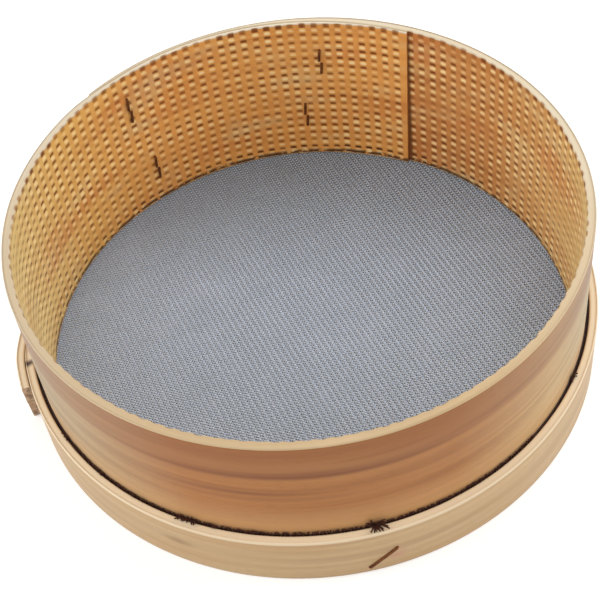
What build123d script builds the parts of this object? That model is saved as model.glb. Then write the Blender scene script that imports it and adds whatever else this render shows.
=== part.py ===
from build123d import *
import os
from math import cos, radians, sin

# Drum sieve (tamis): a bent wooden drum, open at the top, with a wire cloth
# drawn over its lower end and held there by a second bent wooden band.
# Millimetres. The origin is on the drum's axis, level with the lower edge of
# the band, which the sieve stands on. +Z points up, out of the open end.
# Azimuths are in degrees, anticlockwise from +X as seen from above.

# Drum hoop: one thin strip bent round, with its two ends thinned and lapped
drum_radius = 105.0  # outer face of the drum
drum_wall = 3.2  # thickness of the strip
drum_height = 71.4  # width of the strip
drum_rim_round = 0.42  # rounding of the rim's edges
drum_inner_azimuth = 59.0  # azimuth of the strip's inner end, seen as a seam
drum_outer_azimuth = 135.0  # azimuth of its feathered outer end
drum_settle_turn = 5.0  # turn in which the strip steps out past that end
drum_glue_line = 0.2  # gap between the two layers of the lap
drum_feather = 0.9  # thickness left at the outer end
drum_inner_feather = 1.1  # thickness left at the inner end, the step at the seam
feather_power = 2.5  # how early the outer layer thins and the step fades

# Wire cloth: a flat disc whose margin is turned up round the drum
cloth_thickness = 1.2  # two crossing wires with their crimp
cloth_above_base = 0.4  # the cloth hangs this far above the table
cloth_below_band_top = 2.0  # the turned-up margin ends this far below the band

# Clamp band: a narrow strip bent round the cloth's margin, with a short lap
band_wall = 3.2  # thickness of the strip
band_height = 24.0  # width of the strip
band_edge_round = 0.7  # rounding of its upper and lower edges
band_inner_azimuth = 188.7  # azimuth of the inner end, seen as a dark cap
band_outer_azimuth = 194.7  # azimuth of the outer end at the upper edge
band_end_angle = 11.5  # the outer end's lean from the vertical, lower corner back
band_lift_turn = 23.7  # turn in which the strip rides up on its inner end
band_lap_gap = 0.25  # gap between the two layers of the lap

# Staples: bent round wire, crown outside
staple_wire = 1.1  # diameter of the wire
staple_bend = 0.6  # radius of each bend, at the wire's centre
staple_sink = 0.35  # how deep the crown is driven into the wood
staple_play = 0.03  # clearance of the wire in the wood and in the cloth
staple_crown = 13.0  # outside length of the crown
clinch_length = 5.4  # length of each leg that is bent over inside the drum
clinch_offset = 0.5  # how far each bent leg swings to its side
tack_crown = 14.4  # outside length of the slanting staple's crown
tack_angle = 48.6  # the slanting staple's lean from the vertical
leg_bite = 1.6  # how deep an unclinched leg ends in the drum's wall

# Places of the staples' middles. Levels are shares of the strip's width.
drum_staple_azimuths = (84.1, 79.4, 123.4, 127.0)
drum_staple_level_shares = (0.32, 0.724, 0.26, 0.762)
lap_staple_azimuth = 190.8
lap_staple_level_share = 0.5
tack_azimuth = 277.35
tack_level_share = 0.325

# Derived levels and radii
cloth_top = cloth_above_base + cloth_thickness
cloth_radius = drum_radius + cloth_thickness
cloth_edge_level = band_height - cloth_below_band_top
band_radius = cloth_radius + band_wall
lapped_band_radius = band_radius + band_lap_gap + band_wall

full_turn = 360.0
overrun = 10.0  # how far cutting shapes run past what they cut


def at(radius, azimuth, level=0.0):
    """The point at a radius, an azimuth and a level."""
    return Vector(radius * cos(radians(azimuth)), radius * sin(radians(azimuth)), level)


def along(azimuth):
    """The direction of travel round the axis at an azimuth."""
    return Vector(-sin(radians(azimuth)), cos(radians(azimuth)), 0)


def eased(share):
    """A share that starts and stops gently, for a strip that bends smoothly."""
    return share * share * (3 - 2 * share)


def spiral(start, turn, radius_at):
    """A strip's face over part of a turn. radius_at gives its radius for a share
    of the turn, and doesn't change at either end, so the face runs on smoothly."""
    steps = 12
    shares = [i / steps for i in range(steps + 1)]
    return Spline(
        *[at(radius_at(share), start + turn * share) for share in shares],
        tangents=(along(start), along(start + turn)),
    )


def facing_out(radius, azimuth, level, lean=0.0):
    """A plane that touches a round wall from outside. Its Z axis points outward.
    Its Y axis points up, leaning towards greater azimuth."""
    x_dir = along(azimuth) * cos(radians(lean)) - Vector(0, 0, sin(radians(lean)))
    return Plane(at(radius, azimuth, level), x_dir=x_dir, z_dir=at(1, azimuth))


def staple(plane, crown, reach, clinched):
    """A staple that lies on a wall, outside the plane that touches that wall.
    Its legs reach in to a centre line this far below the plane. Clinched ones
    turn there towards each other and lie along the wall's inner face."""
    half = (crown - staple_wire) / 2
    outside = staple_wire / 2 - staple_sink
    corners = [(0, half, -reach), (0, half, outside), (0, -half, outside), (0, -half, -reach)]
    if clinched:
        corners.insert(0, (clinch_offset, half - clinch_length, -reach))
        corners.append((-clinch_offset, clinch_length - half, -reach))
    with BuildLine() as centre_line:
        FilletPolyline(*[plane.from_local_coords(c) for c in corners], radius=staple_bend)
    path = centre_line.wire()
    with BuildSketch(Plane(path @ 0, z_dir=path % 0)) as wire_section:
        Circle(staple_wire / 2)
    sweep(wire_section.sketch, path=path)


def staple_channel(plane, crown, reach, clinched):
    """The slot for a staple's crown and the two holes for its legs."""
    width = staple_wire + 2 * staple_play
    half = (crown - staple_wire) / 2
    floor = -staple_sink - staple_play
    with BuildSketch(plane.offset(floor)) as slot:
        SlotCenterToCenter(2 * half, width, rotation=90)
    extrude(slot.sketch, amount=width, mode=Mode.SUBTRACT)
    with BuildSketch(plane.offset(floor)) as holes:
        with Locations((0, half), (0, -half)):
            Circle(width / 2)
    extrude(holes.sketch, amount=-(reach + staple_play + floor), mode=Mode.SUBTRACT)


# Drum hoop
lap_turn = drum_outer_azimuth - drum_inner_azimuth
settled = drum_outer_azimuth + drum_settle_turn


def outer_layer_wall(share):
    """Thickness of the lap's outer layer, as it thins to its feathered end."""
    return drum_feather + (drum_wall - drum_feather) * (1 - eased(share)) ** feather_power


def lap_inner_radius(share):
    """Inner face of the lap, which steps in at the seam and fades to the single wall."""
    step = drum_glue_line + drum_inner_feather
    return drum_radius - drum_wall - step * (1 - eased(share)) ** feather_power


def inner_layer_radius(share):
    """Outer face of the lap's inner layer, one glue line inside the outer layer."""
    return drum_radius - outer_layer_wall(share) - drum_glue_line


def settling_radius(share):
    """Outer face of the strip as it steps out past the feathered end."""
    step = drum_feather + drum_glue_line
    return drum_radius - step * (1 - eased(share))


def drum_staple(azimuth, level_share):
    """A staple through both layers of the drum's lap, clinched inside."""
    level = cloth_top + drum_height * level_share
    inner_face = lap_inner_radius((azimuth - drum_inner_azimuth) / lap_turn)
    plane = facing_out(drum_radius, azimuth, level)
    reach = drum_radius - inner_face + staple_play + staple_wire / 2
    return plane, staple_crown, reach, True


drum_places = zip(drum_staple_azimuths, drum_staple_level_shares)
drum_set = [drum_staple(*place) for place in drum_places]
bite_radius = drum_radius - leg_bite
lap_level = band_height * lap_staple_level_share
lap_plane = facing_out(lapped_band_radius, lap_staple_azimuth, lap_level)
lap_set = [(lap_plane, staple_crown, lapped_band_radius - bite_radius, False)]
tack_level = band_height * tack_level_share
tack_plane = facing_out(band_radius, tack_azimuth, tack_level, tack_angle)
tack_set = [(tack_plane, tack_crown, band_radius - bite_radius, False)]

with BuildPart() as drum_hoop:
    with BuildSketch(Plane.XY.offset(cloth_top)):
        with BuildLine():
            # Outer face: the inner layer, the step out, then the whole turn
            spiral(drum_inner_azimuth, lap_turn, inner_layer_radius)
            spiral(drum_outer_azimuth, drum_settle_turn, settling_radius)
            CenterArc((0, 0), drum_radius, settled, full_turn - drum_settle_turn)
            # Feathered outer end
            Line(
                at(drum_radius, drum_outer_azimuth),
                at(drum_radius - drum_feather, drum_outer_azimuth),
            )
            # Inner face: the lap's outer layer, the single wall, the inner layer
            spiral(drum_inner_azimuth, lap_turn, lambda s: drum_radius - outer_layer_wall(s))
            CenterArc((0, 0), drum_radius - drum_wall, drum_outer_azimuth, full_turn - lap_turn)
            spiral(drum_inner_azimuth, lap_turn, lap_inner_radius)
            # Inner end
            Line(
                at(inner_layer_radius(0), drum_inner_azimuth),
                at(lap_inner_radius(0), drum_inner_azimuth),
            )
        make_face()
    extrude(amount=drum_height)
    rim_edges = drum_hoop.faces().sort_by(Axis.Z)[-1].edges()
    fillet(rim_edges.filter_by(GeomType.LINE, reverse=True), drum_rim_round)
    for spec in drum_set + lap_set + tack_set:
        staple_channel(*spec)

# Wire cloth
with BuildPart() as wire_cloth:
    with BuildSketch(Plane.XY.offset(cloth_above_base)):
        Circle(cloth_radius)
    extrude(amount=cloth_edge_level - cloth_above_base)
    fillet(wire_cloth.edges().sort_by(Axis.Z)[0], cloth_thickness)
    with BuildSketch(Plane.XY.offset(cloth_top)):
        Circle(drum_radius)
    extrude(amount=cloth_edge_level, mode=Mode.SUBTRACT)
    for spec in drum_set + lap_set + tack_set:
        staple_channel(*spec)

# Clamp band
lift_start = band_inner_azimuth - band_lift_turn
round_turn = full_turn - band_lift_turn
lap_past_end = band_outer_azimuth - band_inner_azimuth


def lifting_radius(share):
    """Inner face of the strip as it rides up on its own inner end."""
    return cloth_radius + (band_wall + band_lap_gap) * eased(share)


with BuildPart() as clamp_band:
    with BuildSketch():
        with BuildLine():
            # Outer face: the plain turn, the ride up, the lap
            CenterArc((0, 0), band_radius, band_inner_azimuth, round_turn)
            spiral(lift_start, band_lift_turn, lambda s: lifting_radius(s) + band_wall)
            CenterArc((0, 0), lapped_band_radius, band_inner_azimuth, lap_past_end)
            # Outer end
            Line(
                at(lapped_band_radius, band_outer_azimuth),
                at(lapped_band_radius - band_wall, band_outer_azimuth),
            )
            # Inner face: the lap, the ride up, the plain turn
            CenterArc((0, 0), lapped_band_radius - band_wall, band_inner_azimuth, lap_past_end)
            spiral(lift_start, band_lift_turn, lifting_radius)
            CenterArc((0, 0), cloth_radius, band_inner_azimuth, round_turn)
            # Inner end
            Line(at(cloth_radius, band_inner_azimuth), at(band_radius, band_inner_azimuth))
        make_face()
    extrude(amount=band_height)
    # The outer end leans, so that its lower corner stops short
    lap_gap_middle = band_radius + band_lap_gap / 2
    end_plane = facing_out(lap_gap_middle, band_outer_azimuth, band_height, band_end_angle)
    with BuildSketch(end_plane):
        with Locations((0, overrun)):
            Rectangle(overrun, band_height + 3 * overrun, align=(Align.MIN, Align.MAX))
    extrude(amount=band_wall + overrun, mode=Mode.SUBTRACT)
    levels = clamp_band.faces().sort_by(Axis.Z)
    long_edges = (levels[0].edges() + levels[-1].edges()).filter_by(GeomType.LINE, reverse=True)
    fillet(long_edges, band_edge_round)
    for spec in lap_set + tack_set:
        staple_channel(*spec)

# Staples
with BuildPart() as drum_staples:
    for spec in drum_set:
        staple(*spec)

with BuildPart() as lap_staple:
    for spec in lap_set:
        staple(*spec)

with BuildPart() as tack_staple:
    for spec in tack_set:
        staple(*spec)

os.makedirs("parts", exist_ok=True)
for piece, label in (
    (drum_hoop, "drum_hoop"),
    (wire_cloth, "wire_cloth"),
    (clamp_band, "clamp_band"),
    (drum_staples, "drum_staples"),
    (lap_staple, "lap_staple"),
    (tack_staple, "tack_staple"),
):
    piece.part.label = label
    export_step(piece.part, f"parts/{label}.step")
    print(label, round(piece.part.volume), piece.part.bounding_box())
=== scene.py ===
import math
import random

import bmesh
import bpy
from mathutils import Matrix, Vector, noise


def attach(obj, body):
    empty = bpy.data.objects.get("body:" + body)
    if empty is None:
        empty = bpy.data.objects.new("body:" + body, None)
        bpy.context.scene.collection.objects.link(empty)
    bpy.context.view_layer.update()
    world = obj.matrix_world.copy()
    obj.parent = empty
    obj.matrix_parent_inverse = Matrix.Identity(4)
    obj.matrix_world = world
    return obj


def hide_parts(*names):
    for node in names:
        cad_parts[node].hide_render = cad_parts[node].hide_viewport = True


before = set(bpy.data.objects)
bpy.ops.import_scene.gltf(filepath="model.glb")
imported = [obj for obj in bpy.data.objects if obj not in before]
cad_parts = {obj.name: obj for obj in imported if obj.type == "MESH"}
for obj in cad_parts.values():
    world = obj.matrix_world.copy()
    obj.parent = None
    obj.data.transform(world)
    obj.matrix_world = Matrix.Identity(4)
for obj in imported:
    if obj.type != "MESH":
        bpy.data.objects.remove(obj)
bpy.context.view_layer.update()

# %% [markdown]
# A drum sieve, or tamis, is a wooden drum with a woven wire cloth stretched over
# its lower end. Flour or a puree goes in at the top and is worked through the
# cloth with a scraper. The drum is one thin board bent round and lapped. A second,
# narrower board is bent round its foot and clamps the margin of the cloth.
#
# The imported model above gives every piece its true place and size. This lesson
# builds what the eye sees on top of it: the pressed pattern inside the drum, the
# crossing wires, the frayed wire ends and the wood itself.

MM = 0.001
scene = bpy.context.scene
scene.view_settings.view_transform = "Standard"
dice = random.Random(11)

# %% [markdown]
# The camera comes first, because every later choice is judged through it. It
# stands in front of the sieve and looks down into it from about half a metre.
# Its place was found by fitting the rim, the cloth's edge and the foot to true
# circles. The picture is slightly turned, so the camera rolls a little too.

# %% Camera
eye = Vector((0.0, -329.2, 402.4)) * MM
look_down = math.radians(40.704)  # measured from straight down
heading = math.radians(0.494)
roll = math.radians(-8.055)

camera = bpy.data.objects.new("camera", bpy.data.cameras.new("camera"))
camera.matrix_world = (
    Matrix.Translation(eye)
    @ Matrix.Rotation(heading, 4, "Z")
    @ Matrix.Rotation(look_down, 4, "X")
    @ Matrix.Rotation(roll, 4, "Z")
)
camera.data.sensor_width = 36.0
camera.data.lens = 78.56
scene.collection.objects.link(camera)
scene.camera = camera
print("camera at", tuple(round(c, 3) for c in eye), "lens", camera.data.lens)

# %% [markdown]
# Bent boards are easiest to describe by azimuth, the angle round the drum's axis.
# These are the sizes of the real pieces in millimetres, the same ones that the
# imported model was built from. The strips ride over themselves at their laps, so
# their radius is a function of how far round the board has gone.

# %% Sizes
drum_radius = 105.0
drum_wall = 3.2
drum_foot = 1.6
drum_rim = 73.0
drum_inner_end = 59.0
drum_outer_end = 135.0
settle_turn = 5.0
glue_line = 0.2
outer_feather = 0.9
inner_feather = 1.1
feather_power = 2.5
thin_end = 0.3
thin_end_turn = 7.0
lap_turn = drum_outer_end - drum_inner_end

cloth_radius = 106.2
band_wall = 3.2
band_top = 24.0
band_inner_end = 188.7
band_outer_end = 194.7
band_end_slant = 11.5
band_lift_turn = 15.0
band_lap_gap = 0.25
band_thin_turn = 11.0
band_turns = 360.0 + band_outer_end - band_inner_end


def eased(share):
    """A share that starts and stops gently."""
    return share * share * (3 - 2 * share)


def outer_layer(share):
    """The outer layer of the drum's lap thins towards its feathered end."""
    wall = outer_feather + (drum_wall - outer_feather) * (1 - eased(share)) ** feather_power
    last = max(0.0, 1 - (1 - share) * lap_turn / thin_end_turn)
    return wall - (outer_feather - thin_end) * eased(last)


def drum_faces(turn):
    """Inner and outer radius of the drum's board, this many degrees from its inner end."""
    inner_layer = turn / lap_turn
    settling = (turn - lap_turn) / settle_turn
    outer_share = (turn - 360) / lap_turn
    single_wall_inside = drum_radius - drum_wall
    if inner_layer < 1:
        step = (glue_line + inner_feather) * (1 - eased(inner_layer)) ** feather_power
        return single_wall_inside - step, drum_radius - outer_layer(inner_layer) - glue_line
    if settling < 1:
        step = (thin_end + glue_line) * (1 - eased(settling))
        return single_wall_inside, drum_radius - step
    if outer_share > 0:
        return drum_radius - outer_layer(min(outer_share, 1)), drum_radius
    return single_wall_inside, drum_radius


def band_faces(turn):
    """Inner and outer radius of the band, this many degrees from its inner end.

    Before that end the board is thinned, to fill the wedge that the ride up leaves.
    """
    full_lift = band_wall + band_lap_gap
    if turn < 0:
        lift = full_lift * eased(1 + turn / band_lift_turn)
        return cloth_radius, cloth_radius + lift - band_lap_gap
    riding = (turn - 360 + band_lift_turn) / band_lift_turn
    inner = cloth_radius + full_lift * eased(min(max(riding, 0), 1))
    return inner, inner + band_wall


print("drum lap", lap_turn, "degrees; band lap", round(band_turns - 360, 1), "degrees")

# %% [markdown]
# Both boards are made by one helper. It starts from a flat grid. The grid's
# length runs along the board, and its width is wrapped right round the board's
# section: inner face, rim, outer face, foot. Each vertex is then bent round the
# axis. A flat grid that is bent is close to how the real board was made, and it
# gives the grain a clean map to follow: along the board and across it.
#
# A section point is a side, a depth from the inner face and a level. Corners get
# a small rounding, as sanding leaves them.

# %% Helper: the section of a board
INNER, RIM, OUTER, FOOT, END = range(5)
corner_steps = 4  # points on each rounded corner


def board_section(wall, foot, rim, rounding, inner_levels, outer_levels):
    """Points round the section: up the inner face, over the rim, down and under."""
    corner = [(rounding * (1 - math.sin(a)), rounding * (1 - math.cos(a)))
              for a in (math.radians(90 / corner_steps * n) for n in range(1, corner_steps + 1))]
    points = [(INNER, 0.0, z) for z in inner_levels]
    points += [(RIM, t, rim - d) for d, t in corner]
    points += [(RIM, wall - t, rim - d) for t, d in corner[::-1]]
    points += [(OUTER, wall, z) for z in outer_levels]
    points += [(FOOT, wall - t, foot + d) for d, t in corner]
    points += [(FOOT, t, foot + d) for t, d in corner[::-1]]
    return points


# %% [markdown]
# create_grid makes the board's whole skin in one go, with columns along the board
# and rows round its section. The first and last rows fall on one line and are
# welded, and the two open ends are filled. Each face gets the material of its side,
# and each of its corners a place on the board map.

# %% Helper: bend a board round the axis
foot_rows = corner_steps + 1  # the flat of the foot and its inner corner
weld_distance = 0.0005
sharp_edge = math.radians(50)


def bent_board(name, stations, section, wall, faces_at, place):
    """A closed board. stations are degrees from the inner end; place moves a point."""
    columns = len(stations) - 1
    rows = len(section)
    mesh = bmesh.new()
    bmesh.ops.create_grid(mesh, x_segments=columns, y_segments=rows, size=1.0)
    board_map = mesh.loops.layers.uv.new("board")
    shade_layer = mesh.verts.layers.float.new("slot_shade")
    flat = {}
    for vert in mesh.verts:
        i = round((vert.co.x + 1) / 2 * columns)
        j = round((vert.co.y + 1) / 2 * rows)
        flat[vert] = (i, j)
    for face in mesh.faces:
        j = min(flat[v][1] for v in face.verts)
        side = section[j][0] if section[j][0] == section[(j + 1) % rows][0] else RIM
        if j >= rows - foot_rows:
            side = FOOT
        face.material_index = side
        for loop in face.loops:
            i, k = flat[loop.vert]
            _, depth, level = section[k % rows]
            run = math.radians(stations[i]) * drum_radius
            across = level + depth if side in (INNER, RIM) else level - depth - wall
            loop[board_map].uv = (run * MM, across * MM)
    for vert, (i, j) in flat.items():
        side, depth, level = section[j % rows]
        inner, outer = faces_at(stations[i])
        radius = inner + depth / wall * (outer - inner)
        radius, azimuth, level, shade = place(side, i, j % rows, radius, stations[i], level)
        vert[shade_layer] = shade
        angle = math.radians(azimuth)
        vert.co = Vector((radius * math.cos(angle), radius * math.sin(angle), level)) * MM
    bmesh.ops.remove_doubles(mesh, verts=mesh.verts, dist=weld_distance * MM)
    open_edges = [e for e in mesh.edges if e.is_boundary]
    filled = bmesh.ops.triangle_fill(mesh, use_beauty=True, edges=open_edges)["geom"]
    ends = [part for part in filled if isinstance(part, bmesh.types.BMFace)]
    for face in mesh.faces:
        face.smooth = True
    for face in ends:
        face.smooth = False
        face.material_index = END
        for loop in face.loops:
            across_wall = math.hypot(loop.vert.co.x, loop.vert.co.y)
            loop[board_map].uv = (across_wall, loop.vert.co.z)
    bmesh.ops.recalc_face_normals(mesh, faces=mesh.faces)
    data = bpy.data.meshes.new(name)
    mesh.to_mesh(data)
    mesh.free()
    data.set_sharp_from_angle(angle=sharp_edge)
    piece = bpy.data.objects.new(name, data)
    scene.collection.objects.link(piece)
    triangles = sum(len(p.vertices) - 2 for p in data.polygons)
    print(name, columns, "columns", rows, "rows", triangles, "triangles", len(ends), "at the ends")
    return piece


# %% [markdown]
# Thick beech cracks when it is bent dry and tight. So the inner face is first
# rolled between toothed rollers, which press rows of small slots across the grain
# and let that face shorten. The slots are 3.4 mm wide and 3.1 mm high, repeat every
# 4.85 mm along the board and every 4.09 mm across it, and are 0.4 mm deep. The rim
# was cut after pressing, so the top row is open and notches the rim's inner edge.
#
# Bump in a material would look flat at the rim and at grazing angles, so the
# slots are real shape. Each cell of the pattern gets five grid lines each way,
# placed where the slot's profile turns: a steep upper wall, a floor, and a
# lower lip that catches the light from above. The colour also paints shade into a
# slot's upper part and a highlight onto its lip, so each grid line carries a shade
# from -1, painted highlight, to 1, painted shade.

# %% Sizes of the pressed slots
slot_pitch = 4.85
slot_half_width = 1.7
slot_row_pitch = 4.09
slot_rows = 18
slot_first_top = 72.4
slot_depth = 0.4
# Each line is a drop below the slot's top, a share of its depth and a shade.
slot_profile = (
    (0.0, 0.0, 0.0),
    (0.65, 0.6, 0.9),
    (1.5, 1.0, 1.0),
    (2.35, 0.6, -0.7),
    (3.1, 0.0, -1.0),
)
# Each pair is a place across the slot, from -1 to 1, and a share of its depth.
slot_columns_at = ((-1.0, 0.0), (-0.6, 0.8), (0.0, 1.0), (0.6, 0.8), (1.0, 0.0))
rim_notch = 0.9  # depth of a notch, as a share of a slot's
top_row_shade = 0.9
rim_notch_shades = (0.8, 0.7, 0.4, 0.0)
plain_margin = 1.0  # unpressed wood at the board's end
plain_foot = 0.5  # unpressed wood above the board's foot
drum_end_lean = math.radians(1.35)
drum_rounding = 0.55
place_wander = 0.03  # of a slot along the board, as a share of the pitch
row_wander = 0.22  # of a column of slots across the board
faintest_notch = 0.25
deepest_notch = 1.1
tooth_strengths = (0.7, 0.85, 1.0, 1.0, 1.1)  # the rollers' teeth are unevenly worn
face_wander = 0.06  # unevenness of the inner face
print(slot_rows, "rows of slots, every", slot_pitch, "by", slot_row_pitch, "mm")

# %% [markdown]
# The grid's lines are set out so that every slot gets its own. One turn holds as
# many slots as fit into it. Past that turn the board lies outside its own inner end,
# where its inner face is hidden, so plain columns do there.

# %% Columns and rows of the drum's grid
seen_turn = 360.0
margin_turn = math.degrees(plain_margin / drum_radius)
slot_count = int(math.radians(seen_turn - margin_turn) * (drum_radius - drum_wall) / slot_pitch)
pitch_turn = (seen_turn - margin_turn) / slot_count

drum_stations = [0.0]
slot_column = {}
for n in range(slot_count):
    middle = margin_turn + (n + 0.5 + dice.uniform(-place_wander, place_wander)) * pitch_turn
    for share, strength in slot_columns_at:
        slot_column[len(drum_stations)] = (n, strength)
        offset = math.degrees(share * slot_half_width / (drum_radius - drum_wall))
        drum_stations.append(middle + offset)
hidden_steps = 30
for n in range(hidden_steps + 1):
    drum_stations.append(seen_turn + lap_turn * n / hidden_steps)

slot_row = {}
inner_levels = []
for n in reversed(range(slot_rows)):
    for drop, depth_share, shade in reversed(slot_profile):
        if n == 0 and drop == 0.0:
            depth_share, shade = rim_notch, top_row_shade
        level = slot_first_top - n * slot_row_pitch - drop
        if level > drum_foot + plain_foot:
            slot_row[len(inner_levels)] = (n, depth_share, shade)
            inner_levels.append(level)
print("drum grid", len(drum_stations), "columns and", len(inner_levels), "rows inside")

# %% [markdown]
# Toothed rollers are never quite true. So the columns of slots sit a little high or
# low, each leaves a deeper or fainter notch in the rim, and some slots are pressed
# deeper than others. Seeded chance gives the same drum on every run, and noise makes
# slots that lie close together alike.

# %% Unevenness of the slots
column_shift = [dice.uniform(-row_wander, row_wander) for _ in range(slot_count)]
notch_strength = [dice.uniform(faintest_notch, deepest_notch) for _ in range(slot_count)]
slot_strength = {}
for n in range(slot_count):
    for k in range(slot_rows):
        worn = noise.noise(Vector((n * 0.13, k * 0.3, 4.0)))
        slot_strength[n, k] = dice.choice(tooth_strengths) * (0.85 + 0.4 * worn)
print("deepest slot", round(slot_depth * max(slot_strength.values()), 2), "mm")


# %% [markdown]
# Every vertex of the drum passes through the next function. It presses the slots
# in, cuts the notches into the rim's inner edge, leans the inner end by a little
# over a degree, as it leans in the picture, and leaves the face slightly uneven.

# %% Helper: place the drum's vertices
def place_drum(side, i, j, radius, turn, level):
    """Press the slots in and leave the board a little uneven."""
    shade = 0.0
    if side == INNER and i in slot_column and j in slot_row:
        column, across = slot_column[i]
        row, depth_share, shade = slot_row[j]
        strength = across * slot_strength[column, row]
        radius += slot_depth * depth_share * strength
        shade *= strength
        level += column_shift[column]
    over_edge = j - len(inner_levels)
    if side == RIM and i in slot_column and over_edge < len(rim_notch_shades):
        column, across = slot_column[i]
        strength = across * notch_strength[column]
        radius += slot_depth * rim_notch * strength
        shade = rim_notch_shades[over_edge] * strength
    wander = noise.noise(Vector((turn * 0.05, level * 0.03, side * 7.0)))
    if side in (INNER, RIM):
        radius += face_wander * wander
    end_share = max(0.0, 1 - turn / (2 * margin_turn))
    leaned = math.degrees((level - drum_foot) * math.tan(drum_end_lean) / drum_radius)
    return radius, drum_inner_end + turn - leaned * end_share, level, shade


# %% [markdown]
# The outside is plain, so it needs few rows. The finished board takes the place of
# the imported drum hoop.

# %% Drum
below_rounding = 0.6
outer_margin = 1.5
outer_steps = 8
outer_step = (drum_rim - drum_foot - 2 * outer_margin) / outer_steps
outer_levels = [drum_rim - below_rounding]
outer_levels += [drum_rim - outer_margin - n * outer_step for n in range(outer_steps + 1)]
drum_section = board_section(
    drum_wall, drum_foot, drum_rim, drum_rounding, inner_levels, outer_levels)
drum = bent_board("drum", drum_stations, drum_section, drum_wall, drum_faces, place_drum)
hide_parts("drum_hoop")
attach(drum, "root")
print("slots", slot_count * slot_rows, "pitch", round(slot_pitch, 2), "mm")

# %% [markdown]
# The clamp band is a second board, bent the same way but with plain faces. At the
# left its outer end rides over its inner end. The upper edge was cut with a knife
# and is a little wavy, which the light along it shows.

# %% Clamp band
band_step = 1.5  # degrees between the grid's columns
ride_from = 336.0
ride_steps = 30
slant_turn = 4.0  # degrees over which the columns lean to the slanting end
band_rounding = 0.75
edge_wander = 0.12
edge_chatter = 0.08
band_face_wander = 0.05
band_margin = 1.5
band_level_steps = 4

band_stations = [-band_thin_turn + n for n in range(int(band_thin_turn))]
band_stations += [band_step * n for n in range(int(ride_from / band_step))]
band_stations += [
    ride_from + (band_turns - ride_from) * n / ride_steps for n in range(ride_steps + 1)]


def place_band(side, i, j, radius, turn, level):
    """Lean the outer end and let the upper edge wander."""
    end_share = max(0.0, (turn - band_turns + slant_turn) / slant_turn)
    drop = (band_top - level) * math.tan(math.radians(band_end_slant)) * end_share
    azimuth = band_inner_end + turn - math.degrees(drop / cloth_radius)
    wander = noise.noise(Vector((turn * 0.11, 3.0, level * 0.01)))
    fine = noise.noise(Vector((turn * 0.7, 9.0, 0.0)))
    if side == RIM:
        level -= edge_wander * (1 + wander) + edge_chatter * (1 + fine)
    if side == OUTER:
        radius -= band_face_wander * (1 + wander)
    return radius, azimuth, level, 0.0


band_levels_up = [band_margin + (band_top - 2 * band_margin) * n / band_level_steps
                  for n in range(band_level_steps + 1)]
band_section = board_section(
    band_wall, 0.0, band_top, band_rounding, band_levels_up, band_levels_up[::-1])
band = bent_board("band", band_stations, band_section, band_wall, band_faces, place_band)
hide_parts("clamp_band")
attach(band, "root")

# %% [markdown]
# The cloth is a twill: each warp wire goes over two crossing wires and under one,
# and the next wire does the same one step later. That gives the fine ribs that run
# from back left to front right. They are 2.2 mm apart, as three wires to a repeat
# are when the wires lie 1.04 mm apart. The real wires are thinner and closer; they
# are drawn as coarse as these to show. Only real over-and-under wires look right
# from every side.

# %% Sizes of the wire cloth
wire_diameter = 0.6
cloth_middle = 1.0
margin_radius = 105.72
margin_top = 22.4
wire_spacing = 1.04
warp_heading = 65.0
wire_drift = 0.2  # how far a wire strays from its straight line
edge_room = 0.8  # from the last crossing to the turn-up
turn_up_level = 2.0
print("cloth of", wire_diameter, "mm wires every", wire_spacing, "mm")


# %% [markdown]
# A wire is a curve with a round bevel, the natural tool for a long thin tube. The
# bevel is left at its coarsest, four sides, which smooth shading rounds, because
# there are hundreds of wires with up to some 200 points each.

# %% Helper: round wires
def tubes(name, lines, diameter, closed=False):
    """One mesh of round wires along lines of points in millimetres."""
    curve = bpy.data.curves.new(name, "CURVE")
    curve.dimensions = "3D"
    curve.bevel_depth = diameter / 2 * MM
    curve.bevel_resolution = 0
    curve.use_fill_caps = True
    for line in lines:
        spline = curve.splines.new("POLY")
        spline.points.add(len(line) - 1)
        for point, place in zip(spline.points, line):
            point.co = (*(Vector(place) * MM), 1.0)
        spline.use_cyclic_u = closed
    holder = bpy.data.objects.new(name, curve)
    scene.collection.objects.link(holder)
    holder.update_tag()
    bpy.context.view_layer.update()
    data = bpy.data.meshes.new_from_object(holder.evaluated_get(bpy.context.evaluated_depsgraph_get()))
    data.name = name
    bpy.data.objects.remove(holder)
    data.shade_smooth()
    piece = bpy.data.objects.new(name, data)
    scene.collection.objects.link(piece)
    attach(piece, "root")
    print(name, len(lines), "wires", sum(len(p.vertices) - 2 for p in data.polygons), "triangles")
    return piece


# %% [markdown]
# A wire needs one point at each crossing, half its own width above or below the
# cloth's middle. Noise lets it drift a little from its straight line. At the drum's
# edge it turns up between drum and band, as the real cloth's margin does.

# %% Helper: the course of each wire
def warp_is_over(warp_number, weft_number):
    """Two up and one down, stepping one wire along for each wire across."""
    return (warp_number - weft_number) % 3 != 0


def woven_lines(heading_degrees, is_over, numbers):
    """Centre lines of some wires of one family, each from margin to margin."""
    heading_angle = math.radians(heading_degrees)
    ahead = Vector((math.cos(heading_angle), math.sin(heading_angle), 0))
    aside = Vector((-ahead.y, ahead.x, 0))
    lines = []
    for n in numbers:
        offset = n * wire_spacing
        half_chord = math.sqrt(margin_radius ** 2 - offset ** 2)
        crossings = int((half_chord - edge_room) / wire_spacing)
        line = []
        for k in range(-crossings, crossings + 1):
            over = 1 if is_over(n, k) else -1
            spot = ahead * (k * wire_spacing) + aside * offset
            drift = noise.noise(spot * 0.02 + Vector((0, 0, heading_degrees)))
            spot += aside * wire_drift * drift
            spot.z = cloth_middle + over * wire_diameter * 0.5
            line.append(spot)
        for way in (-1, 1):
            exit_point = ahead * half_chord * way + aside * offset
            turned_up = [Vector((exit_point.x, exit_point.y, z)) for z in (turn_up_level, margin_top)]
            line = line + turned_up if way == 1 else turned_up[::-1] + line
        lines.append(line)
    return lines


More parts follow.
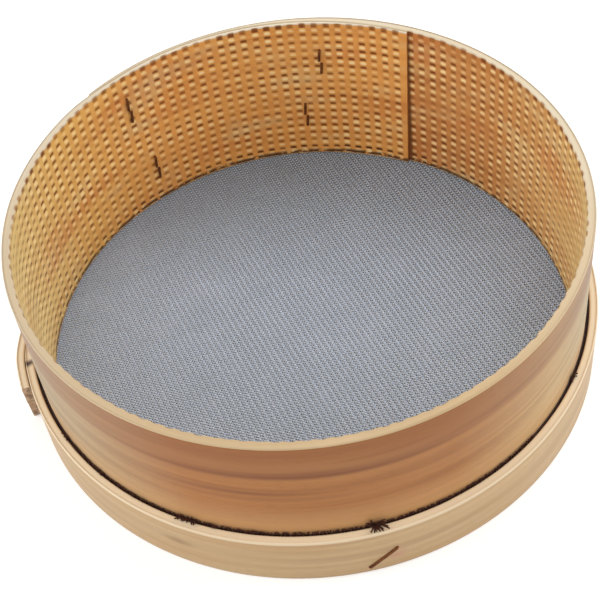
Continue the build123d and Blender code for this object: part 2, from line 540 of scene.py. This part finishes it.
def weft_is_over(weft_number, warp_number):
    """A weft wire is over wherever the warp is not. Its numbers run the other way."""
    return not warp_is_over(warp_number, -weft_number)


# %% [markdown]
# The warp and the weft are each made in a left and a right half, to keep every
# piece under 200,000 triangles.

# %% Wire cloth
cloth_pieces = []
last_wire = int(margin_radius / wire_spacing)
halves = {"left": range(-last_wire, 0), "right": range(0, last_wire + 1)}
families = {"warp": (warp_heading, warp_is_over), "weft": (warp_heading + 90, weft_is_over)}
for family, (heading_degrees, is_over) in families.items():
    for half, numbers in halves.items():
        lines = woven_lines(heading_degrees, is_over, numbers)
        cloth_pieces.append(tubes(f"cloth_{family}_{half}", lines, wire_diameter))

# %% [markdown]
# In the turned-up margin the same wires would stand side by side like bristles, so
# plain rings cross them there. They lie just inside the upright wires and aren't
# woven with them, which can't be seen in the narrow gap.

# %% Rings of crossing wires in the turned-up margin
ring_radius = 105.26
ring_steps = 180
ring_count = 10
ring_first = 3.7
ring_pitch = 2.1
ring_wire = 0.42
ring_lines = []
for n in range(ring_count):
    level = ring_first + n * ring_pitch
    ring_lines.append([
        (ring_radius * math.cos(2 * math.pi * k / ring_steps),
         ring_radius * math.sin(2 * math.pi * k / ring_steps), level)
        for k in range(ring_steps)
    ])
cloth_pieces.append(tubes("cloth_margin", ring_lines, ring_wire, closed=True))
for piece in cloth_pieces:
    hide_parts("wire_cloth")

# %% [markdown]
# The cloth was trimmed with shears after the band was pressed on, so here and there
# wires stick up out of the gap and lie over the band's edge. They are thin tubes
# again, four or more to a tuft, each bent its own way by seeded chance. The tufts sit
# where the picture shows them, and along the front a short fringe fills the gap.
#
# Each line of the table is a tuft: its azimuth in degrees, how many wires it has,
# how wide it is at the foot and how far its wires reach, both in millimetres.

# %% Frayed wire ends above the band
gap_middle = (drum_radius + cloth_radius) / 2
tuft_wire = 0.5
fringe_wire = 0.45


def frayed_end(azimuth, lean, out, up):
    """A wire from inside the gap, bent to one side, outwards and up. Millimetres."""
    start = math.radians(azimuth)
    line = []
    for share, rise in ((0.0, -1.5), (0.2, 0.2), (0.6, 0.75 * up), (1.0, up)):
        angle = start + lean * share / gap_middle
        radius = gap_middle + out * share
        line.append((radius * math.cos(angle), radius * math.sin(angle), band_top + rise))
    return line


tufts = (
    (209.8, 5, 1.8, 1.4),
    (221.1, 5, 1.8, 1.4),
    (229.6, 4, 1.4, 1.2),
    (241.8, 26, 4.2, 2.4),
    (246.7, 5, 1.6, 1.4),
    (253.9, 5, 1.6, 1.4),
    (276.8, 28, 1.8, 4.0),
    (298.0, 4, 1.4, 1.2),
    (328.0, 10, 1.8, 2.2),
)
foot_wander = 0.1  # along the tuft, as a share of its width
lean_wander = 0.6  # to one side, as a share of the reach, like the four below
farthest_out = 0.9
lowest_up = 0.3
highest_up = 0.8
lying_from = 0.4  # a wire that goes out farther than this lies over the edge
lying_up = 0.5
tuft_lines = []
for azimuth, count, spread, reach in tufts:
    for n in range(count):
        aside = (n + 0.5) / count - 0.5 + dice.uniform(-foot_wander, foot_wander)
        lean = (aside + dice.uniform(-lean_wander, lean_wander)) * reach
        out = dice.uniform(0.0, farthest_out) * reach
        up = dice.uniform(lowest_up, highest_up) * reach if out < lying_from * reach else lying_up
        foot = azimuth + math.degrees(aside * spread / gap_middle)
        tuft_lines.append(frayed_end(foot, lean, out, up))

# %% [markdown]
# Between the tufts the margin's cut edge shows along the front as a dark fringe of
# short ends, tallest in the middle. They are set out evenly, then moved, leaned and
# cut to length by seeded chance.

# %% A short fringe along the front
fringe_first = 212.0
fringe_last = 312.0
fringe_count = 260
fringe_wander = 0.4  # of a wire along the fringe, as a share of their pitch
fringe_least = 0.05
fringe_swell = 1.6  # the fringe gains a quarter of this towards its middle
fringe_shortest = 0.2
fringe_longest = 1.3
fringe_lean = 1.6
fringe_in = 0.3
fringe_out = 0.5
fringe_lines = []
for n in range(fringe_count):
    share = (n + dice.uniform(-fringe_wander, fringe_wander)) / fringe_count
    azimuth = fringe_first + share * (fringe_last - fringe_first)
    usual_up = fringe_least + fringe_swell * share * (1 - share)
    up = usual_up * dice.uniform(fringe_shortest, fringe_longest)
    lean = dice.uniform(-fringe_lean, fringe_lean)
    out = dice.uniform(-fringe_in, fringe_out)
    fringe_lines.append(frayed_end(azimuth, lean, out, up))
tuft_pieces = [
    tubes("cloth_frayed_tufts", tuft_lines, tuft_wire),
    tubes("cloth_fringe", fringe_lines, fringe_wire),
]

# %% [markdown]
# Materials. One small function adds a node with its settings and its links, and
# every material below is built with it. Colours are written as sRGB hex, the way
# a colour picker shows them, and turned to linear light in one place.

# %% Helpers: colours and nodes
def hex_colour(code):
    """sRGB hex to linear RGBA."""
    channels = [int(code[i:i + 2], 16) / 255 for i in (0, 2, 4)]
    linear = [c / 12.92 if c <= 0.04045 else ((c + 0.055) / 1.055) ** 2.4 for c in channels]
    return (*linear, 1.0)


print("808080 in linear light", round(hex_colour("808080")[0], 3))


def add(tree, kind, inputs=None, stops=None, **settings):
    """A node with its settings, its socket values or links, and its ramp stops."""
    made = tree.nodes.new(kind)
    for name, value in settings.items():
        setattr(made, name, value)
    for key, value in (inputs or {}).items():
        if isinstance(value, bpy.types.NodeSocket):
            tree.links.new(value, made.inputs[key])
        else:
            made.inputs[key].default_value = value
    if stops:
        elements = made.color_ramp.elements
        while len(elements) < len(stops):
            elements.new(1.0)
        for element, (place, colour) in zip(elements, stops):
            element.position = place
            element.color = colour
    return made


def new_material(name):
    """An empty node material with a Principled surface."""
    material = bpy.data.materials.new(name)
    material.use_nodes = True
    tree = material.node_tree
    tree.nodes.clear()
    surface = add(tree, "ShaderNodeBsdfPrincipled")
    add(tree, "ShaderNodeOutputMaterial", {"Surface": surface.outputs[0]})
    return material, tree, surface


# %% [markdown]
# Sliced beech, bent along the grain. Its growth rings show as long soft streaks
# that run along the board, a few millimetres wide, and its rays as short dark
# flecks. The board map gives metres along and across the board, so the streaks
# are noise stretched along it. The wood is sanded but not varnished, so it is dull,
# with the usual index of 1.45 to 1.5 for wood. At a grazing angle even sanded wood
# gets a pale sheen, which greys the two sides of the drum in the picture.

# %% Material: beech
def beech(name, pale, middle, dark, streak_mm, fleck_amount, roughness, sheen):
    """Long-grained wood on the board map. Its colour isn't linked to the surface yet."""
    material, tree, surface = new_material(name)
    board = add(tree, "ShaderNodeUVMap", uv_map="board")
    along = add(tree, "ShaderNodeMapping", {
        "Vector": board.outputs[0], "Scale": (1 / 0.16, 1 / (streak_mm * MM), 1.0)})
    streaks = add(tree, "ShaderNodeTexNoise", {
        "Vector": along.outputs[0], "Scale": 1.0, "Detail": 5.0, "Roughness": 0.55,
        "Distortion": 0.3})
    ramp = add(tree, "ShaderNodeValToRGB", {"Fac": streaks.outputs[0]}, stops=(
        (0.28, hex_colour(dark)), (0.5, hex_colour(middle)), (0.74, hex_colour(pale))))
    fleck_map = add(tree, "ShaderNodeMapping", {
        "Vector": board.outputs[0], "Scale": (1 / 0.004, 1 / 0.0006, 1.0)})
    flecks = add(tree, "ShaderNodeTexNoise", {
        "Vector": fleck_map.outputs[0], "Scale": 1.0, "Detail": 2.0})
    fleck_range = add(tree, "ShaderNodeMapRange", {
        "Value": flecks.outputs[0], "From Min": 0.5, "From Max": 0.75,
        "To Min": 0.0, "To Max": fleck_amount})
    flecked = add(tree, "ShaderNodeMix", {
        0: fleck_range.outputs[0], 6: ramp.outputs[0], 7: hex_colour(dark)},
        data_type="RGBA")
    bump = add(tree, "ShaderNodeBump", {
        "Height": streaks.outputs[0], "Strength": 0.25, "Distance": 0.0002})
    tree.links.new(bump.outputs[0], surface.inputs["Normal"])
    surface.inputs["Roughness"].default_value = roughness
    surface.inputs["IOR"].default_value = 1.47
    surface.inputs["Sheen Weight"].default_value = sheen
    surface.inputs["Sheen Roughness"].default_value = 0.4
    return material, tree, surface, board, flecked.outputs[2]


# %% [markdown]
# Used wood has stains. These helpers lay them over the grain: a mix towards a
# stain's colour, a share for soft clouds, a share for one oval mark, and tones that
# change along the board. They lay painted light and shade the same way. All of them
# read the board map, so a mark stays in place.

# %% Helpers: stains on the wood
def stain(tree, colour, share, code, blend="MIX"):
    """Lay a colour over the wood by a share from 0 to 1."""
    laid = add(tree, "ShaderNodeMix", {0: share, 6: colour, 7: hex_colour(code)},
               data_type="RGBA", blend_type=blend)
    return laid.outputs[2]


def cloudy(tree, board, run_mm, across_mm, low, high, most):
    """A soft share for broad patches of about this size, up to the most."""
    placed = add(tree, "ShaderNodeMapping", {
        "Vector": board.outputs[0], "Scale": (1 / (run_mm * MM), 1 / (across_mm * MM), 1.0)})
    clouds = add(tree, "ShaderNodeTexNoise", {
        "Vector": placed.outputs[0], "Scale": 1.0, "Detail": 3.0, "Roughness": 0.5})
    return add(tree, "ShaderNodeMapRange", {
        "Value": clouds.outputs[0], "From Min": low, "From Max": high, "To Max": most},
        interpolation_type="SMOOTHSTEP").outputs[0]


def oval(tree, board, run_mm, across_mm, half_run_mm, half_across_mm, most, turned=0.0):
    """A share that is greatest in the middle of an oval mark and fades to its edge."""
    placed = add(tree, "ShaderNodeMapping", {
        "Vector": board.outputs[0], "Location": (run_mm * MM, across_mm * MM, 0.0),
        "Rotation": (0.0, 0.0, math.radians(turned)),
        "Scale": (half_run_mm * MM, half_across_mm * MM, 1.0)}, vector_type="TEXTURE")
    out = add(tree, "ShaderNodeVectorMath", {0: placed.outputs[0]}, operation="LENGTH")
    return add(tree, "ShaderNodeMapRange", {
        "Value": out.outputs["Value"], "From Min": 1.0, "From Max": 0.0, "To Max": most},
        interpolation_type="SMOOTHSTEP").outputs[0]


def run_at(azimuth, first_azimuth):
    """Millimetres along a board at an azimuth, counted from its inner end."""
    return math.radians(azimuth - first_azimuth) * drum_radius


def tones_along(tree, board, first_azimuth, last_azimuth, tones):
    """A change of colour from one place to the next along the board's length: its own tone, and
    painted sheen where the tones give it.
    """
    whole = last_azimuth - first_azimuth
    parts = add(tree, "ShaderNodeSeparateXYZ", {"Vector": board.outputs[0]})
    share = add(tree, "ShaderNodeMapRange", {
        "Value": parts.outputs["X"], "From Max": run_at(last_azimuth, first_azimuth) * MM})
    stops = [((azimuth - first_azimuth) / whole, hex_colour(code)) for azimuth, code in tones]
    return add(tree, "ShaderNodeValToRGB", {"Fac": share.outputs[0]}, stops=stops).outputs[0]


def tinted(tree, colour, tint):
    """The wood's colour times another colour."""
    return add(tree, "ShaderNodeMix", {0: 1.0, 6: colour, 7: tint},
               data_type="RGBA", blend_type="MULTIPLY").outputs[2]


# %% [markdown]
# The drum isn't one colour all the way round. Outside it is browner at the front and
# paler at the two sides, where the paleness is painted sheen of light grazing them.
# The rim is paler at the back, painted sheen as well, and inside the drum is more
# orange at the back. Each pair is an azimuth in degrees and the colour that the wood
# is multiplied by there.

# %% Tones along the drum
drum_last = drum_outer_end + 360
# The two sides are paler: painted sheen of grazing light.
outside_tones_and_sheen = (
    (59, "ecdfcc"), (200, "dcd5be"), (218, "e8d8be"), (244, "da9a52"), (293, "d6984e"),
    (318, "f8e2ba"), (342, "e6e4d0"), (drum_last, "ecdfcc"))
# The rim is paler at the back: painted sheen.
rim_tones_and_sheen = (
    (59, "f8f4ee"), (150, "ece6de"), (185, "e2d8ca"), (215, "dccdb8"), (240, "d8c4a8"),
    (300, "d8c2a2"), (330, "dfceb6"), (360, "e8dfd0"), (drum_last, "f8f4ee"))
inside_tones = (
    (59, "ffca8c"), (120, "ffca8c"), (148, "ffdc9e"), (180, "fff9d6"), (250, "fff9da"),
    (340, "fff6c4"), (372, "f5d3a6"), (395, "e4b080"), (drum_last, "e6ac7a"))
print("tones", len(outside_tones_and_sheen), "outside", len(rim_tones_and_sheen), "rim", len(inside_tones), "inside")

# %% [markdown]
# In the picture the drum's front is browner above a dark growth line and paler at
# its foot. The foot's paleness is painted light, which cancels the shade that the band
# and the gap leave on it. On a board's outer face the map's height is the level less
# two walls, so each level below has two walls taken off. Each growth mark is a long
# thin oval: its azimuth, level, half length, half width and strength.

# %% Material: the drum's planed outside
drum_outer_wood, tree, surface, board, colour = beech(
    "planed beech, drum outside", "dac8a6", "c8b392", "ac926e", 4.0, 0.5, 0.45, 0.12)
tones = tones_along(tree, board, drum_inner_end, drum_last, outside_tones_and_sheen)
colour = tinted(tree, colour, tones)
parts = add(tree, "ShaderNodeSeparateXYZ", {"Vector": board.outputs[0]})
brown_from = 54.4 - 2 * drum_wall
brown_fully = 57.4 - 2 * drum_wall
upper = add(tree, "ShaderNodeMapRange", {
    "Value": parts.outputs["Y"], "From Min": brown_from * MM, "From Max": brown_fully * MM,
    "To Max": 0.5})
colour = stain(tree, colour, upper.outputs[0], "844400")
# The foot is lightened: painted light that cancels the shade near the band.
painted_light_from = 38.4 - 2 * drum_wall
painted_light_fully = 22.4 - 2 * drum_wall
foot = add(tree, "ShaderNodeMapRange", {
    "Value": parts.outputs["Y"], "From Min": painted_light_from * MM, "From Max": painted_light_fully * MM,
    "To Max": 0.5})
colour = stain(tree, colour, foot.outputs[0], "ecc08a")
colour = stain(tree, colour, cloudy(tree, board, 120, 12, 0.45, 0.75, 0.3), "c08850")
growth_marks = (
    (266, 57.0, 75, 2.0, 0.9),
    (262, 58.9, 60, 1.5, 0.4),
    (256, 47.2, 46, 1.8, 0.6),
    (250, 49.6, 36, 1.4, 0.35),
    (280, 63.5, 40, 1.6, 0.4),
)
for azimuth, level, half_run, half_across, most in growth_marks:
    mark_run = run_at(azimuth, drum_inner_end)
    mark = oval(tree, board, mark_run, level - 2 * drum_wall, half_run, half_across, most)
    colour = stain(tree, colour, mark, "7c3e00")
tree.links.new(colour, surface.inputs["Base Color"])
print(drum_outer_wood.name, len(tree.nodes), "nodes")

# %% [markdown]
# The rim is the board's sawn and sanded edge. It is paler and duller than the faces,
# with closer grain and fewer flecks. The notches in it are darker, painted shade in
# their hollows.

# %% Material: the drum's cut rim
rim_wood, tree, surface, board, colour = beech(
    "cut edge of beech", "ebe3d2", "e4dac6", "d6c8ae", 3.0, 0.15, 0.55, 0.15)
colour = tinted(tree, colour, tones_along(tree, board, drum_inner_end, drum_last, rim_tones_and_sheen))
colour = stain(tree, colour, cloudy(tree, board, 30, 8, 0.5, 0.75, 0.3), "d8b88c")
slot_shade = add(tree, "ShaderNodeAttribute", attribute_name="slot_shade")
# Painted shade in the rim's notches.
painted_notch_shade = add(tree, "ShaderNodeMapRange", {
    "Value": slot_shade.outputs["Fac"], "From Min": 0.1, "From Max": 0.8, "To Max": 0.8})
colour = stain(tree, colour, painted_notch_shade.outputs[0], "966230")
tree.links.new(colour, surface.inputs["Base Color"])
print(rim_wood.name, len(tree.nodes), "nodes")

# %% [markdown]
# The clamp band is planed beech too, from a paler board. Its cut upper edge is
# painted paler still, a painted highlight where the light from above falls on its top.
# It has a dark split on top at its inner end, a brown patch like a small knot left of
# the front's middle, and a reddish stain beside the tack.

# %% Material: the clamp band
band_wood, tree, surface, board, colour = beech(
    "planed beech, clamp band", "d4b48a", "c8a87a", "b8926a", 4.0, 0.5, 0.5, 0.12)
colour = stain(tree, colour, cloudy(tree, board, 60, 9, 0.45, 0.75, 0.35), "c09460")
parts = add(tree, "ShaderNodeSeparateXYZ", {"Vector": board.outputs[0]})
# The top face is paler: a painted highlight from the light above.
top_face_highlight = add(tree, "ShaderNodeMapRange", {
    "Value": parts.outputs["Y"], "From Min": 23.4 * MM, "From Max": 24.2 * MM, "To Max": 0.75})
colour = stain(tree, colour, top_face_highlight.outputs[0], "ecd8b8")
split = oval(tree, board, 0.0, band_top + band_wall / 2, 2.4, 3.4, 1.0)
colour = stain(tree, colour, split, "40200e")
knot_run = run_at(239.9, band_inner_end)
knot_level = 12.9 - 2 * band_wall
colour = stain(tree, colour, oval(tree, board, knot_run, knot_level, 9, 3.2, 0.55), "8d6238")
tack_run = run_at(277.35, band_inner_end)
tack_level = 7.4 - 2 * band_wall
tack_stain = oval(tree, board, tack_run + 5, tack_level, 5, 3.5, 0.6, 40)
colour = stain(tree, colour, tack_stain, "c98f74")
tree.links.new(colour, surface.inputs["Base Color"])
print(band_wood.name, len(tree.nodes), "nodes")

# %% [markdown]
# Where a board is sawn across, its pores are cut open. They scatter light and take
# up dirt, so end grain is greyer and duller than the faces, with pale and dark spots
# of a few millimetres. It shows at the band's slanting end.

# %% Material: end grain
end_grain, tree, surface, board, colour = beech(
    "end grain", "d0b696", "b4967a", "88694e", 1.0, 0.3, 0.7, 0.0)
colour = stain(tree, colour, cloudy(tree, board, 3, 3, 0.45, 0.6, 0.6), "d4b49a")
colour = stain(tree, colour, cloudy(tree, board, 2, 5, 0.5, 0.65, 0.6), "5c483c")
tree.links.new(colour, surface.inputs["Base Color"])
print(end_grain.name, len(tree.nodes), "nodes")

# %% [markdown]
# The drum's ends are thinned and glued down. The glue has soaked into their end
# grain, which is a warmer brown than the band's.

# %% Material: the drum's end, browned by glue
glued_end, tree, surface, board, colour = beech(
    "end grain under glue", "d89a58", "c08246", "a0662e", 1.0, 0.3, 0.6, 0.0)
tree.links.new(colour, surface.inputs["Base Color"])
print(glued_end.name, len(tree.nodes), "nodes")

# %% [markdown]
# The inside is yellower, with orange and pale clouds. The colour paints shade into
# the slots' upper parts and a highlight onto their lips, both following the shade
# that the grid lines carry. The corner above the cloth is darkened in small patches
# and the lowest slots darker still, painted shade where the wall meets the cloth.
# A dark line lies beside the seam, partly glue and partly painted shade of the step.

# %% Material: the drum's pressed inside
inner_wood, tree, surface, board, colour = beech(
    "pressed beech, drum inside", "f3dfae", "ebd19e", "d4af7a", 6.0, 0.2, 0.5, 0.05)
colour = tinted(tree, colour, tones_along(tree, board, drum_inner_end, drum_last, inside_tones))
colour = stain(tree, colour, cloudy(tree, board, 80, 20, 0.48, 0.68, 0.45), "cc7234")
colour = stain(tree, colour, cloudy(tree, board, 34, 14, 0.5, 0.72, 0.5), "e4c48a")
slot_shade = add(tree, "ShaderNodeAttribute", attribute_name="slot_shade")
# Painted shade: the slots' upper parts are darkened by the shade attribute.
painted_slot_shade = add(tree, "ShaderNodeMapRange", {
    "Value": slot_shade.outputs["Fac"], "From Min": 0.1, "From Max": 0.85, "To Max": 0.92})
colour = stain(tree, colour, painted_slot_shade.outputs[0], "7a3c04")
# Painted highlight: the slots' lips are made paler.
painted_lip_highlight = add(tree, "ShaderNodeMapRange", {
    "Value": slot_shade.outputs["Fac"], "From Min": -0.2, "From Max": -0.9, "To Max": 0.95})
colour = stain(tree, colour, painted_lip_highlight.outputs[0], "ffe2a4")
parts = add(tree, "ShaderNodeSeparateXYZ", {"Vector": board.outputs[0]})
# Painted shade in the corner where the wall meets the cloth, broken into patches.
corner = add(tree, "ShaderNodeMapRange", {
    "Value": parts.outputs["Y"], "From Min": 4.6 * MM, "From Max": 3.4 * MM, "To Max": 1.0})
corner_shade_patches = cloudy(tree, board, 2.6, 2.4, 0.36, 0.5, 0.9)
painted_corner_shade = add(tree, "ShaderNodeMath", {0: corner.outputs[0], 1: corner_shade_patches}, operation="MULTIPLY")
colour = stain(tree, colour, painted_corner_shade.outputs[0], "3a2210")
# Painted shade, deeper in the lowest slots near the cloth.
lowest = add(tree, "ShaderNodeMapRange", {
    "Value": parts.outputs["Y"], "From Min": 7.0 * MM, "From Max": 5.5 * MM, "To Max": 1.0})
painted_lowest_shade = add(tree, "ShaderNodeMath", {
    0: lowest.outputs[0], 1: painted_slot_shade.outputs[0]}, operation="MULTIPLY")
colour = stain(tree, colour, painted_lowest_shade.outputs[0], "2c1808")
# A dark line beside the seam: glue and painted shade of the step.
seam_run = run_at(drum_inner_end + 360, drum_inner_end)
glue_and_shade_by_seam = add(tree, "ShaderNodeMapRange", {
    "Value": parts.outputs["X"], "From Min": (seam_run - 2.6) * MM,
    "From Max": (seam_run - 1.4) * MM, "To Max": 0.85})
colour = stain(tree, colour, glue_and_shade_by_seam.outputs[0], "6a3a10")
tree.links.new(colour, surface.inputs["Base Color"])

for material in (inner_wood, rim_wood, drum_outer_wood, drum_outer_wood, glued_end):
    drum.data.materials.append(material)
for material in (band_wood, band_wood, band_wood, band_wood, end_grain):
    band.data.materials.append(material)
print("wood materials", [m.name for m in drum.data.materials], [m.name for m in band.data.materials])

# %% [markdown]
# The cloth is drawn steel wire, greyed by use. Bare steel is a metal, so its colour
# is its reflection: metallic 1, the default index and a cool mid grey. Use has
# dulled it, so its roughness is about four fifths. Pale and dark lines follow the
# twill's ribs in the colour, painted highlight and shade on the ribs, more on the
# right than on the left. The far side is darkened, a painted shadow of the drum's
# back wall. The cloth's margin sits in the gap between drum and band, where it is
# coloured dark brown and barely metal, painted shade of the narrow gap.

# %% Material: drawn steel wire
rib_period = 3 * wire_spacing / math.sqrt(2)
rib_facing = warp_heading + 135
wave_repeat = 2 * math.pi / 20  # metres from wave to wave at a scale of 1

steel, tree, surface = new_material("drawn steel wire")
place = add(tree, "ShaderNodeTexCoord")
dulling = add(tree, "ShaderNodeTexNoise", {
    "Vector": place.outputs["Object"], "Scale": 60.0, "Detail": 3.0})
grey = add(tree, "ShaderNodeValToRGB", {"Fac": dulling.outputs[0]}, stops=(
    (0.3, hex_colour("c6ced9")), (0.7, hex_colour("cfd6e1"))))
# Pale and dark lines along the twill's ribs: painted highlight and shade, stronger on the right.
across_ribs = add(tree, "ShaderNodeMapping", {
    "Vector": place.outputs["Object"], "Rotation": (0.0, 0.0, -math.radians(rib_facing))})
ribs = add(tree, "ShaderNodeTexWave", {
    "Vector": across_ribs.outputs[0], "Scale": wave_repeat / (rib_period * MM),
    "Distortion": 0.8, "Detail": 2.0})
place_parts = add(tree, "ShaderNodeSeparateXYZ", {"Vector": place.outputs["Object"]})
rib_light_strength = add(tree, "ShaderNodeMapRange", {
    "Value": place_parts.outputs["X"], "From Min": -90 * MM, "From Max": 90 * MM,
    "To Min": 0.36, "To Max": 0.54})
rib_painted_light = add(tree, "ShaderNodeMath", {
    0: ribs.outputs["Fac"], 1: rib_light_strength.outputs[0]}, operation="MULTIPLY")
ribbed = stain(tree, grey.outputs[0], rib_painted_light.outputs[0], "70767f")
# The far side is darkened: a painted shadow of the drum's back wall.
painted_back_shadow = add(tree, "ShaderNodeMapRange", {
    "Value": place_parts.outputs["Y"], "From Min": 30 * MM, "From Max": 95 * MM, "To Max": 0.3})
ribbed = stain(tree, ribbed, painted_back_shadow.outputs[0], "5c6462")
# In the gap the wires turn dark brown and lose their metal: painted shade of the gap.
gap_shade_share = add(tree, "ShaderNodeMapRange", {
    "Value": place_parts.outputs["Z"], "From Min": 2.2 * MM, "From Max": 4.0 * MM, "To Max": 0.95})
gap_painted_shade = stain(tree, ribbed, gap_shade_share.outputs[0], "3a1400")
metal = add(tree, "ShaderNodeMapRange", {
    "Value": gap_shade_share.outputs[0], "To Min": 1.0, "To Max": 0.1})
dull = add(tree, "ShaderNodeMapRange", {
    "Value": dulling.outputs[0], "To Min": 0.76, "To Max": 0.84})
tree.links.new(gap_painted_shade, surface.inputs["Base Color"])
tree.links.new(metal.outputs[0], surface.inputs["Metallic"])
tree.links.new(dull.outputs[0], surface.inputs["Roughness"])
for piece in cloth_pieces:
    piece.data.materials.append(steel)
print("ribs every", round(rib_period, 2), "mm on", len(cloth_pieces), "pieces")


# %% [markdown]
# The staples and the tack are plain steel wire that has rusted. Rust isn't a metal:
# it is dull and brown, and mottled in spots of about a millimetre. The staples have
# old brown rust, the tack a redder one, and the frayed ends the darkest.

# %% Material: rusty wire of the staples, the tack and the frayed ends
def rusty_wire(name, dark, light):
    """Plain wire with a mottled coat of rust, dull and only partly metal."""
    material, tree, surface = new_material(name)
    place = add(tree, "ShaderNodeTexCoord")
    mottle = add(tree, "ShaderNodeTexNoise", {
        "Vector": place.outputs["Object"], "Scale": 900.0, "Detail": 4.0})
    colour = add(tree, "ShaderNodeValToRGB", {"Fac": mottle.outputs[0]}, stops=(
        (0.35, hex_colour(dark)), (0.65, hex_colour(light))))
    tree.links.new(colour.outputs[0], surface.inputs["Base Color"])
    surface.inputs["Metallic"].default_value = 0.2
    surface.inputs["Roughness"].default_value = 0.8
    return material


old_rust = rusty_wire("rusted staple wire", "482204", "7c4616")
red_rust = rusty_wire("red rust on the tack", "582c10", "8c5424")
dark_rust = rusty_wire("dark rust on frayed wire", "2c0c00", "4c1e00")
for name, rust in (("drum_staples", old_rust), ("lap_staple", old_rust), ("tack_staple", red_rust)):
    for slot_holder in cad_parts[name].material_slots:
        slot_holder.material = rust
for piece in tuft_pieces:
    piece.data.materials.append(dark_rust)
print("rust", old_rust.name, red_rust.name, dark_rust.name)

# %% [markdown]
# The studio starts with a pale paper floor, which carries the shadow. The paper
# glows a little for the camera alone, by Light Path's Is Camera Ray. That brings it
# to the picture's white and leaves the light on the sieve as it is.

# %% Floor
floor_mesh = bmesh.new()
bmesh.ops.create_circle(floor_mesh, cap_ends=True, segments=64, radius=3.0)
floor_data = bpy.data.meshes.new("floor")
floor_mesh.to_mesh(floor_data)
floor_mesh.free()
floor = bpy.data.objects.new("floor", floor_data)
scene.collection.objects.link(floor)

paper, tree, _ = new_material("pale paper")
tree.nodes.clear()
ray = add(tree, "ShaderNodeLightPath")
matt = add(tree, "ShaderNodeBsdfDiffuse", {"Color": hex_colour("e4e4e4")})
glow = add(tree, "ShaderNodeEmission", {"Strength": 0.35})
seen_glow = add(tree, "ShaderNodeMixShader", {0: ray.outputs["Is Camera Ray"], 2: glow.outputs[0]})
both = add(tree, "ShaderNodeAddShader", {0: matt.outputs[0], 1: seen_glow.outputs[0]})
add(tree, "ShaderNodeOutputMaterial", {"Surface": both.outputs[0]})
floor_data.materials.append(paper)
print("floor of", paper.name, "with", len(tree.nodes), "nodes")

# %% [markdown]
# A large soft lamp hangs behind and above the sieve, so the front of the drum,
# which faces the camera, is the darker side, as in the picture. Weaker ones fill in
# from the sides and the front. The background is full white for the camera and in
# reflections, and lights the sieve from all round at six tenths of that.

# %% World and lamps
world = bpy.data.worlds.new("studio")
scene.world = world
world.use_nodes = True
sky = world.node_tree
sky.nodes.clear()
ray = add(sky, "ShaderNodeLightPath")
seen = add(sky, "ShaderNodeMath", {
    0: ray.outputs["Is Camera Ray"], 1: ray.outputs["Is Glossy Ray"]}, operation="MAXIMUM")
seen_too = add(sky, "ShaderNodeMath", {
    0: seen.outputs[0], 1: ray.outputs["Is Transmission Ray"]}, operation="MAXIMUM")
strength = add(sky, "ShaderNodeMapRange", {
    "Value": seen_too.outputs[0], "To Min": 0.6, "To Max": 1.0})
white = add(sky, "ShaderNodeBackground", {"Color": (1, 1, 1, 1), "Strength": strength.outputs[0]})
add(sky, "ShaderNodeOutputWorld", {"Surface": white.outputs[0]})

# Each line is a lamp's name, its place and width in metres and its power in watts.
lamps = (
    ("lamp behind", (0.25, 0.6, 1.1), 0.9, 4.0),
    ("lamp right", (0.9, 0.0, 0.5), 0.6, 3.5),
    ("lamp left", (-0.9, 0.0, 0.45), 0.6, 3.5),
    ("lamp front", (-0.1, -0.7, 0.9), 0.7, 3.0),
)
for name, place, size, power in lamps:
    lamp = bpy.data.lights.new(name, "AREA")
    lamp.shape = "DISK"
    lamp.size = size
    lamp.energy = power
    holder = bpy.data.objects.new(name, lamp)
    holder.location = place
    holder.rotation_euler = (-Vector(place)).to_track_quat("-Z", "Y").to_euler()
    scene.collection.objects.link(holder)
print("lamps", [name for name, _, _, _ in lamps])
